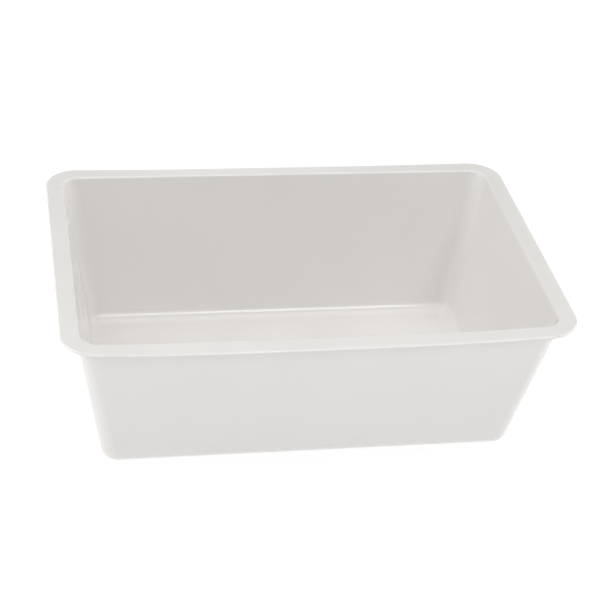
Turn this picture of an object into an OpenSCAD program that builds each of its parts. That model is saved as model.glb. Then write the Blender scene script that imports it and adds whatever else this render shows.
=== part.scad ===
// Deep developing tray: one open, rectangular shell moulded from sheet of even thickness.
// Four walls lean outwards by the same angle and run up into a flat rim.
// A ball of one radius rounds the outside of the foot and of the four upright corners,
// so the outside is a ball-rounded tub, and the inside is the same tub one sheet smaller.
//
// Frame: origin at the centre of the underside, +Z up, +X along the length.
// Sizes are in millimetres.

/* [Overall size] */
// Length over the rim
rim_length = 400; // [300:5:600]
// Width over the rim
rim_width = 270; // [220:5:450]
// Height from the underside to the top of the rim
height = 135; // [70:1:180]

/* [Walls] */
// Lean of the walls from upright, in degrees
draft_angle = 9.5; // [4:0.5:14]
// Thickness of the moulded sheet
sheet = 2.4; // [1.8:0.1:4]
// Outside radius of the upright corners and of the foot
ball_radius = 14; // [9:0.5:20]

/* [Rim] */
// Distance the rim reaches out beyond the walls
rim_reach = 12; // [8:0.5:20]
// Outside radius of the rim's corners, seen from above
rim_corner_radius = 27; // [20:1:40]
// Rounding between the top of the rim and the inside of the walls
mouth_radius = 1.5; // [1:0.5:5]
// Rounding of the rim's outer top edge
edge_radius = 1; // [0.5:0.1:1.6]

/* [Hidden] */

$fn = 96;

slope = tan(draft_angle);

// Outside of the walls, where their planes meet the top of the rim, measured from the middle
wall_top_x = rim_length / 2 - rim_reach;
wall_top_y = rim_width / 2 - rim_reach;

// Centre of the rounding ball in a corner of the foot.
// The inside is rounded about the same centre, by a ball one sheet smaller.
ball_z = ball_radius;
ball_x = wall_top_x - slope * (height - ball_z) - ball_radius / cos(draft_angle);
ball_y = wall_top_y - slope * (height - ball_z) - ball_radius / cos(draft_angle);
inner_radius = ball_radius - sheet;

// Two walls that lean alike meet in an edge that leans this far along the diagonal
corner_lean = atan(slope * sqrt(2));

// Flat pieces and round pieces blend into each other. Each stops this far short of the line where it
// would only touch the next one, so that they meet in a clean crossing, with a step of a few hundredths.
blend_gap = 1.2;

// Walls are made this much taller than the tray and then trimmed
spare = 20;
tub_top = height + spare;

// The rim's corners turn about an upright axis here
rim_turn_x = rim_length / 2 - rim_corner_radius;
rim_turn_y = rim_width / 2 - rim_corner_radius;

// Inside of the walls at the top of the rim, and the upright axis that the mouth's corners turn about
mouth_turn_radius = inner_radius / cos(draft_angle);
mouth_turn_x = wall_top_x - sheet / cos(draft_angle) - mouth_turn_radius;
mouth_turn_y = wall_top_y - sheet / cos(draft_angle) - mouth_turn_radius;

// The mouth's rounding crosses the wall and the rim by this much instead of only touching them
mouth_crossing = 0.15;

// Repeats its children in the four corners, mirrored so that each faces outwards
module at_corners(x, y) {
    for (mx = [0, 1], my = [0, 1])
        mirror([mx, 0, 0])
            mirror([0, my, 0])
                translate([x, y, 0])
                    children();
}

// Repeats its children on the two short ends, each facing outwards
module at_ends(x) {
    for (mx = [0, 1])
        mirror([mx, 0, 0])
            translate([x, 0, 0])
                children();
}

// Repeats its children on the two long sides, each facing outwards
module at_sides(y) {
    for (my = [0, 1])
        mirror([0, my, 0])
            translate([0, y, 0])
                rotate([0, 0, 90])
                    children();
}

// Prism along Y whose section is a wall-to-wall trapezium, from the ball's centre up
module leaning_prism(half_x, half_y) {
    rise = tub_top - ball_z;
    widening = slope * rise;
    translate([0, half_y, ball_z])
        rotate([90, 0, 0])
            linear_extrude(height = 2 * half_y)
                polygon([
                    [-half_x, 0],
                    [half_x, 0],
                    [half_x + widening, rise],
                    [-half_x - widening, rise]
                ]);
}

// Flat face of a leaning wall, as thick as the rounding ball's radius.
// It widens upwards, because the corners beside it lean outwards too.
module wall_slab(radius, half_run) {
    run = (tub_top - ball_z) / cos(draft_angle);
    start = half_run - blend_gap;
    foot_half = start + blend_gap * sin(draft_angle);
    top_half = start + run * sin(draft_angle);
    translate([0, 0, ball_z])
        rotate([0, draft_angle, 0])
            rotate([90, 0, 90])
                linear_extrude(height = radius)
                    polygon([
                        [-foot_half, blend_gap],
                        [foot_half, blend_gap],
                        [top_half, run],
                        [-top_half, run]
                    ]);
}

// Rounded foot along a wall
module foot_bar(radius, half_run) {
    translate([0, half_run - blend_gap, ball_z])
        rotate([90, 0, 0])
            cylinder(h = 2 * (half_run - blend_gap), r = radius);
}

// Rounded upright corner with the ball at its foot
module corner_post(radius) {
    translate([0, 0, ball_z]) {
        sphere(r = radius);
        rotate([0, 0, 45])
            rotate([0, corner_lean, 0])
                translate([0, 0, blend_gap])
                    cylinder(h = (tub_top - ball_z) / cos(corner_lean), r = radius);
    }
}

// Solid tub rounded by a ball of the given radius, open-ended above the rim
module ball_tub(radius) {
    lap = radius / 2;
    floor_x = ball_x - blend_gap;
    floor_y = ball_y - blend_gap;
    translate([-floor_x, -floor_y, ball_z - radius])
        cube([2 * floor_x, 2 * floor_y, radius + lap]);
    intersection() {
        leaning_prism(ball_x + lap, rim_width);
        rotate([0, 0, 90])
            leaning_prism(ball_y + lap, rim_length);
    }
    at_ends(ball_x) {
        wall_slab(radius, ball_y);
        foot_bar(radius, ball_y);
    }
    at_sides(ball_y) {
        wall_slab(radius, ball_x);
        foot_bar(radius, ball_x);
    }
    at_corners(ball_x, ball_y)
        corner_post(radius);
}

// Carries an upright section round a rounded rectangle whose corners turn about (x, y)
module carry_round(x, y) {
    at_ends(x)
        translate([0, y, 0])
            rotate([90, 0, 0])
                linear_extrude(height = 2 * y)
                    children();
    at_sides(y)
        translate([0, x, 0])
            rotate([90, 0, 0])
                linear_extrude(height = 2 * x)
                    children();
    at_corners(x, y)
        rotate_extrude(angle = 90)
            children();
}

// Section of the rim from its corner axis outwards, with a rounded top edge
module rim_section() {
    square([rim_corner_radius - edge_radius, sheet]);
    square([rim_corner_radius, sheet - edge_radius]);
    translate([rim_corner_radius - edge_radius, sheet - edge_radius])
        intersection() {
            circle(r = edge_radius);
            square(edge_radius);
        }
}

// The rim as a whole plate, before its mouth is opened
module rim_plate() {
    translate([0, 0, height - sheet]) {
        carry_round(rim_turn_x, rim_turn_y)
            rim_section();
        translate([-rim_turn_x, -rim_turn_y, 0])
            cube([2 * rim_turn_x, 2 * rim_turn_y, sheet]);
    }
}

// Outside of the walls and floor, up to the middle of the rim's thickness
module outer_tub() {
    intersection() {
        ball_tub(ball_radius);
        translate([-rim_length / 2, -rim_width / 2, 0])
            cube([rim_length, rim_width, height - sheet / 2]);
    }
}

// Section of the cut that rounds the mouth, from its corner axis outwards
module mouth_section() {
    round_x = mouth_turn_radius - slope * mouth_radius + (mouth_radius - mouth_crossing) / cos(draft_angle);
    round_z = height - mouth_radius + mouth_crossing;
    difference() {
        translate([0, round_z])
            square([round_x, mouth_radius + sheet]);
        translate([round_x, round_z])
            circle(r = mouth_radius);
    }
}

// Funnel-shaped cut that rounds the inner edge of the rim
module mouth_rounding() {
    carry_round(mouth_turn_x, mouth_turn_y)
        mouth_section();
}

module tray() {
    color([0.88, 0.87, 0.85])
        difference() {
            union() {
                outer_tub();
                rim_plate();
            }
            ball_tub(inner_radius);
            mouth_rounding();
        }
}

tray();
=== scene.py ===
"""Developing tray: one moulded shell of pale grey-white plastic, on a white studio floor.

Everything is in metres, in the CAD model's frame: the origin is the centre of the underside,
+X runs along the tray and +Z is up.
"""

import math

import bmesh
import bpy
from mathutils import Matrix, Vector


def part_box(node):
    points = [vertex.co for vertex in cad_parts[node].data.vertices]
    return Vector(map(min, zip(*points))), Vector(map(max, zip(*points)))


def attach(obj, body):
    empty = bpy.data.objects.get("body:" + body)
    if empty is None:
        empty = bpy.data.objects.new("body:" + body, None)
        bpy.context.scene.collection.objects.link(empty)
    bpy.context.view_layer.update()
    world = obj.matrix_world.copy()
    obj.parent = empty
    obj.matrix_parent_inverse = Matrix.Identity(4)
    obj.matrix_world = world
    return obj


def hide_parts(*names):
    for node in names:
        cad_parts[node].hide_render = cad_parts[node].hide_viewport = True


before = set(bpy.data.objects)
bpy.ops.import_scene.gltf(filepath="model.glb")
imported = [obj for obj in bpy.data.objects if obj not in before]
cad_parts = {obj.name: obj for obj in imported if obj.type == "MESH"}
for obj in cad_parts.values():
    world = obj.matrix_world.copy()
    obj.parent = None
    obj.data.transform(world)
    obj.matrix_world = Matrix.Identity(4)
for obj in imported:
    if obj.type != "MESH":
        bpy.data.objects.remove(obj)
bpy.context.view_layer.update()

MM = 0.001

# ---------------------------------------------------------------- sizes of the tray
tray_low, tray_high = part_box("tray")
HALF_LENGTH = (tray_high.x - tray_low.x) / 2
HALF_WIDTH = (tray_high.y - tray_low.y) / 2
HEIGHT = tray_high.z - tray_low.z

DRAFT = math.radians(9.5)  # lean of the walls from upright
SHEET = 2.4 * MM
RIM_REACH = 12 * MM  # from the outside of the walls to the edge of the rim
RIM_CORNER = 27 * MM
BALL_OUTSIDE = 14 * MM  # rounding of the corners and of the foot
BALL_INSIDE = BALL_OUTSIDE - SHEET
LEAST_CORNER = 1.5 * MM  # where the foot meets the flat floor
MOUTH_ROUNDING = 1.5 * MM  # inner edge of the rim
MOUTH_CORNER = 13.5 * MM  # the corners inside open up to this at the mouth
MOUTH_CORNER_FROM = 70 * MM
TOP_EDGE_ROUNDING = 1.2 * MM  # outer edge of the rim, above and below
LOW_EDGE_ROUNDING = 0.8 * MM
UNDER_RIM_FILLET = 1.2 * MM

# Give of the rim. The long sides hang a little in the middle, and one corner sits a little low.
FRONT_SAG = 4.3 * MM
BACK_SAG = 1.1 * MM  # only of the outer edge
SAG_LEAN = 0.15  # more of it towards the left
RIM_DROOP = 1.2 * MM  # in front, the outer edge hangs this much lower than the mouth
RIM_WAVE = 0.5 * MM  # and that varies along the rim
WAVE_LENGTH = 150 * MM
WAVE_CREST = -20 * MM
LOW_CORNER = Vector((-190 * MM, -125 * MM))
LOW_CORNER_DIP = 1.3 * MM
LOW_CORNER_SPREAD = 45 * MM
SAG_FROM = 40 * MM  # the walls give only above this height
SAG_NONE_WITHIN = 40 * MM  # between front and back it fades out, by the distance from the middle
SAG_FULL_BEYOND = 110 * MM

# "Out" is a distance outwards from where the outside of the walls meets the top of the rim.
# It is the same on all four sides, because all four walls lean alike.
INNER_OUT = -SHEET / math.cos(DRAFT)

# Centre of the ball that rounds the foot, the same inside and outside
BALL_OUT = -math.tan(DRAFT) * (HEIGHT - BALL_OUTSIDE) - BALL_OUTSIDE / math.cos(DRAFT)
BALL_Z = BALL_OUTSIDE

# ---------------------------------------------------------------- fineness of the mesh
# Steps round a ring
CORNER_STEPS = 20
LENGTH_STEPS = 48
WIDTH_STEPS = 32

# Steps from ring to ring
FLOOR_STEPS = 14
WALL_STEPS = 18
RIM_UNDERSIDE_STEPS = 4
RIM_TOP_STEPS = 6
ARC_STEP = math.radians(8)
RING_SUPPORT = 0.6 * MM  # a straight stretch has a ring this close to each end


def smooth(value, low, high):
    """Rises from 0 to 1 between two values, with no kink at either end."""
    share = max(0.0, min(1.0, (value - low) / (high - low)))
    return share * share * (3 - 2 * share)


def rim_corner_radius(out, first_out, first_radius):
    """The rim's corners open up evenly from the wall to the outer edge."""
    share = (out - first_out) / (RIM_REACH - first_out)
    return first_radius + share * (RIM_CORNER - first_radius)


def inner_corner_radius(z):
    """The corners inside open up a little towards the mouth."""
    return BALL_INSIDE + (MOUTH_CORNER - BALL_INSIDE) * smooth(z, MOUTH_CORNER_FROM, HEIGHT)


def arc(centre, radius, start, end):
    """Points (out, z) of an arc between two angles, in degrees from straight outwards."""
    start, end = math.radians(start), math.radians(end)
    steps = max(3, math.ceil(abs(end - start) / ARC_STEP))
    turns = [start + (end - start) * i / steps for i in range(steps + 1)]
    return [(centre[0] + radius * math.cos(a), centre[1] + radius * math.sin(a)) for a in turns]


def between(start, end, steps):
    """Points strictly between two ends of a straight stretch, with one close to each end."""
    start, end = Vector(start), Vector(end)
    span = (end - start).length
    near = min(RING_SUPPORT / span, 0.25)
    shares = [near + (1 - 2 * near) * i / steps for i in range(steps + 1)]
    return [tuple(start.lerp(end, s)) for s in shares]


def foot_rings(radius, upwards):
    """Rings round the foot: a ball's sections, from the floor up to the leaning wall or back down."""
    lean = -math.degrees(DRAFT)
    turn = (-90, lean) if upwards else (lean, -90)
    section = arc((BALL_OUT, BALL_Z), radius, *turn)
    return [(out, z, max(out - BALL_OUT, LEAST_CORNER)) for out, z in section]


def wall_out(z, radius):
    """How far out the wall's surface is at a height, for the ball radius of that surface."""
    return BALL_OUT + math.tan(DRAFT) * (z - BALL_Z) + radius / math.cos(DRAFT)


def shell_rings():
    """The tray's section as rings (out, z, corner radius), from the edge of the flat underside,
    up the outside, over the rim and down the inside to the edge of the flat floor."""
    outer_foot = foot_rings(BALL_OUTSIDE, True)
    inner_foot = foot_rings(BALL_INSIDE, False)
    under_rim = HEIGHT - SHEET

    # Outside of the wall, up to the fillet under the rim
    sharp = (90 - math.degrees(DRAFT)) / 2
    fillet_reach = UNDER_RIM_FILLET * math.tan(math.radians(sharp))
    fillet_centre = (wall_out(under_rim, BALL_OUTSIDE) + fillet_reach, under_rim - UNDER_RIM_FILLET)
    fillet = arc(fillet_centre, UNDER_RIM_FILLET, 180 - math.degrees(DRAFT), 90)
    outside = between(outer_foot[-1][:2], fillet[0], WALL_STEPS)

    # Edge of the rim
    low_centre = (RIM_REACH - LOW_EDGE_ROUNDING, under_rim + LOW_EDGE_ROUNDING)
    top_centre = (RIM_REACH - TOP_EDGE_ROUNDING, HEIGHT - TOP_EDGE_ROUNDING)
    low_edge = arc(low_centre, LOW_EDGE_ROUNDING, -90, 0)
    top_edge = arc(top_centre, TOP_EDGE_ROUNDING, 0, 90)
    underside = between(fillet[-1], low_edge[0], RIM_UNDERSIDE_STEPS)

    # Mouth, and the inside of the wall
    mouth_z = HEIGHT - MOUTH_ROUNDING
    mouth_centre = (wall_out(mouth_z, BALL_INSIDE) + MOUTH_ROUNDING / math.cos(DRAFT), mouth_z)
    mouth = arc(mouth_centre, MOUTH_ROUNDING, 90, 180 - math.degrees(DRAFT))
    top = between(top_edge[-1], mouth[0], RIM_TOP_STEPS)
    inside = between(mouth[-1], inner_foot[0][:2], WALL_STEPS)

    rings = list(outer_foot)
    rings += [(out, z, BALL_OUTSIDE) for out, z in outside]
    below = fillet + underside + low_edge
    rings += [(out, z, rim_corner_radius(out, 0, BALL_OUTSIDE)) for out, z in below]
    above = top_edge[1:] + top + mouth
    rings += [(out, z, rim_corner_radius(out, INNER_OUT, MOUTH_CORNER)) for out, z in above]
    rings += [(out, z, inner_corner_radius(z)) for out, z in inside]
    rings += inner_foot
    return rings


def ring_points(half_x, half_y, radius):
    """Points of a rounded rectangle, anticlockwise from the start of the corner between -Y and +X."""
    corners = ((1, -1, -90), (1, 1, 0), (-1, 1, 90), (-1, -1, 180))
    sides = (WIDTH_STEPS, LENGTH_STEPS, WIDTH_STEPS, LENGTH_STEPS)
    arcs = []
    for side_x, side_y, start in corners:
        centre = Vector((side_x * (half_x - radius), side_y * (half_y - radius)))
        turns = [math.radians(start + 90 * i / CORNER_STEPS) for i in range(CORNER_STEPS + 1)]
        arcs.append([centre + radius * Vector((math.cos(a), math.sin(a))) for a in turns])
    points = []
    for i, bend in enumerate(arcs):
        points += bend
        onward = arcs[(i + 1) % 4][0]
        points += [bend[-1].lerp(onward, j / sides[i]) for j in range(1, sides[i])]
    return points


def rim_drop(point, out):
    """How far the tray hangs down at a point, if the point is at the height of the rim."""
    reach = point.x / HALF_LENGTH
    along = (1 - reach**4) ** 2 * (1 - SAG_LEAN * reach)
    front = smooth(-point.y, SAG_NONE_WITHIN, SAG_FULL_BEYOND)
    back = smooth(point.y, SAG_NONE_WITHIN, SAG_FULL_BEYOND)
    wave = RIM_WAVE * math.cos(2 * math.pi * (point.x - WAVE_CREST) / WAVE_LENGTH)
    inwards = 1 - max(0.0, min(1.0, (out - INNER_OUT) / (RIM_REACH - INNER_OUT)))
    sag = front * (FRONT_SAG - (RIM_DROOP - wave) * inwards) + back * BACK_SAG * (1 - inwards)
    from_corner = (point.xy - LOW_CORNER).length / LOW_CORNER_SPREAD
    return along * sag + LOW_CORNER_DIP * math.exp(-(from_corner**2) / 2)


def warp(point, out):
    """The slight give of a real moulded tray. The walls take it up, and the foot stays as it is."""
    ease = smooth(point.z, SAG_FROM, HEIGHT - SHEET)
    return Vector((point.x, point.y, point.z - rim_drop(point, out) * ease))


def build_tray():
    bm = bmesh.new()
    wall_top_x = HALF_LENGTH - RIM_REACH
    wall_top_y = HALF_WIDTH - RIM_REACH

    def add_ring(out, z, radius, share=1.0):
        flat = ring_points(wall_top_x + out, wall_top_y + out, radius)
        return [bm.verts.new(warp(Vector((p.x * share, p.y * share, z)), out)) for p in flat]

    rings = shell_rings()
    shares = [i / FLOOR_STEPS for i in range(1, FLOOR_STEPS)]
    loops = [add_ring(*rings[0], share=s) for s in shares]
    loops += [add_ring(*ring) for ring in rings]
    loops += [add_ring(*rings[-1], share=s) for s in reversed(shares)]

    for lower, upper in zip(loops, loops[1:]):
        count = len(lower)
        for i in range(count):
            j = (i + 1) % count
            bm.faces.new((lower[i], lower[j], upper[j], upper[i]))
    bm.faces.new(list(reversed(loops[0])))
    bm.faces.new(loops[-1])

    for face in bm.faces:
        face.smooth = True
    bmesh.ops.recalc_face_normals(bm, faces=bm.faces)
    mesh = bpy.data.meshes.new("tray_shell")
    bm.to_mesh(mesh)
    bm.free()
    piece = bpy.data.objects.new("tray_shell", mesh)
    even = piece.modifiers.new("even_shading", "WEIGHTED_NORMAL")
    even.mode = "FACE_AREA"
    even.weight = 50
    bpy.context.scene.collection.objects.link(piece)
    return piece


# ---------------------------------------------------------------- materials
PLASTIC_LIGHT = (0.792, 0.774, 0.756, 1)
PLASTIC_DARK = (0.783, 0.764, 0.745, 1)
PLASTIC_IOR = 1.58

# Fineness of the plastic's patterns, in noise cells to the metre
CLOUDS = 22
POLISH = 45
WAVINESS = 18
GRAIN = 1300
SCUFFS_ALONG = (30, 900, 300)
SCUFFS_ACROSS = (900, 40, 300)

# Where in a noise's range each pattern starts and is full
CLOUDS_FROM, CLOUDS_TO = 0.35, 0.65
POLISH_FROM, POLISH_TO = 0.3, 0.7
SCUFFS_FROM, SCUFFS_TO = 0.62, 0.78

# Roughness, and what scuffs and wear add to it
SMOOTHEST, DULLEST = 0.13, 0.19
SCUFFED = 0.07
WORN = 0.2  # on the underside, and fading out up the foot
WORN_FROM, WORN_TO = 0.3 * MM, 3 * MM

WAVINESS_DEPTH = 0.04 * MM
GRAIN_DEPTH = 0.0025 * MM


class Nodes:
    """A material with its nodes and links, and short ways to add to them."""

    def __init__(self, name):
        self.material = bpy.data.materials.new(name + "_finish")
        self.material.use_nodes = True
        self.tree = self.material.node_tree
        self.shader = self.tree.nodes["Principled BSDF"]

    def add(self, kind, **values):
        """A new node. Values are set on its inputs, whose names have _ in place of spaces."""
        node = self.tree.nodes.new(kind)
        for name, value in values.items():
            node.inputs[name.replace("_", " ")].default_value = value
        return node

    def join(self, output, target):
        self.tree.links.new(output, target)

    def place(self, squeeze=(1, 1, 1), turn=0.0):
        """The place on the tray in metres, squeezed and turned about Z."""
        place = self.tree.nodes.new("ShaderNodeTexCoord").outputs["Object"]
        mapping = self.add("ShaderNodeMapping", Scale=squeeze, Rotation=(0, 0, turn))
        self.join(place, mapping.inputs["Vector"])
        return mapping.outputs["Vector"]

    def noise(self, place, scale, detail):
        texture = self.add("ShaderNodeTexNoise", Scale=scale, Detail=detail)
        self.join(place, texture.inputs["Vector"])
        return texture.outputs["Fac"]

    def remap(self, value, low, high, to_low, to_high):
        limits = {"From_Min": low, "From_Max": high, "To_Min": to_low, "To_Max": to_high}
        node = self.add("ShaderNodeMapRange", **limits)
        self.join(value, node.inputs["Value"])
        return node.outputs["Result"]

    def combine(self, operation, first, second):
        node = self.tree.nodes.new("ShaderNodeMath")
        node.operation = operation
        self.join(first, node.inputs[0])
        self.join(second, node.inputs[1])
        return node.outputs["Value"]


def tray_plastic():
    """Glossy moulded plastic: faintly clouded, finely grained, and scuffed where it is handled."""
    plastic = Nodes("tray_plastic")
    shader = plastic.shader
    shader.inputs["IOR"].default_value = PLASTIC_IOR
    place = plastic.place()

    # Colour: soft clouds a few centimetres wide
    clouds = plastic.noise(place, CLOUDS, 3)
    tint = plastic.add("ShaderNodeValToRGB")
    plastic.join(clouds, tint.inputs["Fac"])
    tint.color_ramp.elements[0].position = CLOUDS_FROM
    tint.color_ramp.elements[0].color = PLASTIC_DARK
    tint.color_ramp.elements[1].position = CLOUDS_TO
    tint.color_ramp.elements[1].color = PLASTIC_LIGHT
    plastic.join(tint.outputs["Color"], shader.inputs["Base Color"])

    # Roughness: uneven polish, fine scuffs both ways, and a worn underside
    uneven = plastic.noise(place, POLISH, 4)
    polish = plastic.remap(uneven, POLISH_FROM, POLISH_TO, SMOOTHEST, DULLEST)
    along = plastic.noise(plastic.place(SCUFFS_ALONG, math.radians(20)), 1, 2)
    across = plastic.noise(plastic.place(SCUFFS_ACROSS, math.radians(-15)), 1, 2)
    scratched = plastic.combine("MAXIMUM", along, across)
    scuffs = plastic.remap(scratched, SCUFFS_FROM, SCUFFS_TO, 0, SCUFFED)
    height = plastic.tree.nodes.new("ShaderNodeSeparateXYZ")
    plastic.join(place, height.inputs["Vector"])
    under = plastic.remap(height.outputs["Z"], WORN_FROM, WORN_TO, WORN, 0)
    worn = plastic.combine("ADD", scuffs, under)
    plastic.join(plastic.combine("ADD", polish, worn), shader.inputs["Roughness"])

    # Relief: the mould's slight waviness, and its fine grain
    waviness = plastic.add("ShaderNodeBump", Strength=1, Distance=WAVINESS_DEPTH)
    plastic.join(plastic.noise(place, WAVINESS, 1), waviness.inputs["Height"])
    grain = plastic.add("ShaderNodeBump", Strength=1, Distance=GRAIN_DEPTH)
    plastic.join(plastic.noise(place, GRAIN, 2), grain.inputs["Height"])
    plastic.join(waviness.outputs["Normal"], grain.inputs["Normal"])
    plastic.join(grain.outputs["Normal"], shader.inputs["Normal"])
    return plastic.material


# ---------------------------------------------------------------- the tray
tray = build_tray()
tray.data.materials.append(tray_plastic())
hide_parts("tray")
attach(tray, "root")


# ---------------------------------------------------------------- studio
MIDDLE = Vector((0, 0, HEIGHT / 2))
SOFTBOX_DISTANCE = 2.0
FLOOR_HALF_SIZE = 10.0
FLOOR_GAP = 0.2 * MM  # keeps the floor clear of the flat underside
FLOOR_GREY = 0.25  # what the floor reflects
FLOOR_GLOW = 0.80  # and what it gives off by itself, so that it shows white
BACKDROP_RADIUS = 15.0
BACKDROP_FROM = 0.85  # the bowl comes out of the floor this far from the middle
BACKDROP_GLOW = 1.1
WORLD_GLOW = 0.03

# name, degrees round from the front towards the right, degrees up, degrees wide and high, brightness
SOFTBOXES = (
    ("left_low", -90, 20, 40, 40, 2.1),
    ("left_high", -90, 45, 40, 40, 1.8),
    ("right_low", 90, 20, 40, 40, 2.75),
    ("right_high", 90, 45, 40, 40, 0.55),
    ("front_low", 0, 15, 70, 20, 0.4),
    ("front_key", 11.5, 36, 26, 14, 4.0),
    ("front_wide", 5, 45, 50, 18, 2.0),
    ("overhead", 0, 90, 50, 44, 1.6),
    ("back_glow", 180, 11, 110, 22, 0.93),
)


def glowing_paper(name, grey, glow):
    """Matt paper that gives off light. It is clear from behind, so that the tray's underside shows."""
    paper = Nodes(name)
    paper.shader.inputs["Base Color"].default_value = (grey, grey, grey, 1)
    paper.shader.inputs["Roughness"].default_value = 0.9
    paper.shader.inputs["Specular IOR Level"].default_value = 0.0
    paper.shader.inputs["Emission Color"].default_value = (1, 1, 1, 1)
    paper.shader.inputs["Emission Strength"].default_value = glow

    behind = paper.tree.nodes.new("ShaderNodeNewGeometry").outputs["Backfacing"]
    clear = paper.tree.nodes.new("ShaderNodeBsdfTransparent")
    either = paper.tree.nodes.new("ShaderNodeMixShader")
    paper.join(behind, either.inputs[0])
    paper.join(paper.shader.outputs["BSDF"], either.inputs[1])
    paper.join(clear.outputs["BSDF"], either.inputs[2])
    paper.join(either.outputs["Shader"], paper.tree.nodes["Material Output"].inputs["Surface"])
    return paper.material


def build_floor():
    mesh = bpy.data.meshes.new("studio_floor")
    size = FLOOR_HALF_SIZE
    z = -FLOOR_GAP
    corners = [(-size, -size, z), (size, -size, z), (size, size, z), (-size, size, z)]
    mesh.from_pydata(corners, [], [(0, 1, 2, 3)])
    floor = bpy.data.objects.new("studio_floor", mesh)
    bpy.context.scene.collection.objects.link(floor)
    floor.data.materials.append(glowing_paper("studio_white", FLOOR_GREY, FLOOR_GLOW))


def build_backdrop():
    """A pale bowl that rises from the floor round the tray. It shows itself to the camera only."""
    bm = bmesh.new()
    bmesh.ops.create_icosphere(bm, subdivisions=6, radius=BACKDROP_RADIUS)
    bmesh.ops.reverse_faces(bm, faces=bm.faces)
    rise = math.sqrt(BACKDROP_RADIUS**2 - BACKDROP_FROM**2)
    bmesh.ops.translate(bm, verts=bm.verts, vec=(0, 0, rise))
    mesh = bpy.data.meshes.new("studio_backdrop")
    bm.to_mesh(mesh)
    bm.free()
    backdrop = bpy.data.objects.new("studio_backdrop", mesh)
    backdrop.visible_diffuse = False
    backdrop.visible_glossy = False
    backdrop.visible_transmission = False
    backdrop.visible_shadow = False
    bpy.context.scene.collection.objects.link(backdrop)
    backdrop.data.materials.append(glowing_paper("backdrop_white", 0, BACKDROP_GLOW))


def softbox(name, azimuth, elevation, width, height, brightness):
    """A softbox that faces the tray from one side. Its size is given as angles, seen from the tray."""
    azimuth, elevation = math.radians(azimuth), math.radians(elevation)
    level = math.cos(elevation)
    towards = Vector((math.sin(azimuth) * level, -math.cos(azimuth) * level, math.sin(elevation)))
    lamp = bpy.data.lights.new(name, "AREA")
    lamp.shape = "RECTANGLE"
    lamp.size = 2 * SOFTBOX_DISTANCE * math.tan(math.radians(width / 2))
    lamp.size_y = 2 * SOFTBOX_DISTANCE * math.tan(math.radians(height / 2))
    lamp.energy = brightness * math.pi * lamp.size * lamp.size_y
    light = bpy.data.objects.new(name, lamp)
    light.location = MIDDLE + towards * SOFTBOX_DISTANCE
    light.rotation_euler = towards.to_track_quat("Z", "Y").to_euler()
    light.visible_camera = False
    bpy.context.scene.collection.objects.link(light)


def build_world():
    world = bpy.data.worlds.new("studio")
    world.use_nodes = True
    background = world.node_tree.nodes["Background"]
    background.inputs["Color"].default_value = (1, 1, 1, 1)
    background.inputs["Strength"].default_value = WORLD_GLOW
    bpy.context.scene.world = world


build_floor()
build_backdrop()
build_world()
for box in SOFTBOXES:
    softbox(*box)

# ---------------------------------------------------------------- camera
# Round from the front towards the right, up from the floor, and turned about the line of sight
AZIMUTH = math.radians(-12.785)
ELEVATION = math.radians(33.674)
ROLL = math.radians(5.311)
AIM = Vector((0.00867, 0.02412, 0.0675))
DISTANCE = 1.405
LENS_MM = 99.47


def build_camera():
    flat = math.cos(ELEVATION)
    back = Vector((math.sin(AZIMUTH) * flat, -math.cos(AZIMUTH) * flat, math.sin(ELEVATION)))
    level_right = Vector((0, 0, 1)).cross(back).normalized()
    level_up = back.cross(level_right)
    right = level_right * math.cos(ROLL) + level_up * math.sin(ROLL)
    up = level_up * math.cos(ROLL) - level_right * math.sin(ROLL)
    data = bpy.data.cameras.new("camera")
    data.lens = LENS_MM
    camera = bpy.data.objects.new("camera", data)
    turn = Matrix((right, up, back)).transposed().to_4x4()
    camera.matrix_world = Matrix.Translation(AIM + back * DISTANCE) @ turn
    bpy.context.scene.collection.objects.link(camera)
    bpy.context.scene.camera = camera


build_camera()
bpy.context.scene.view_settings.view_transform = "Standard"
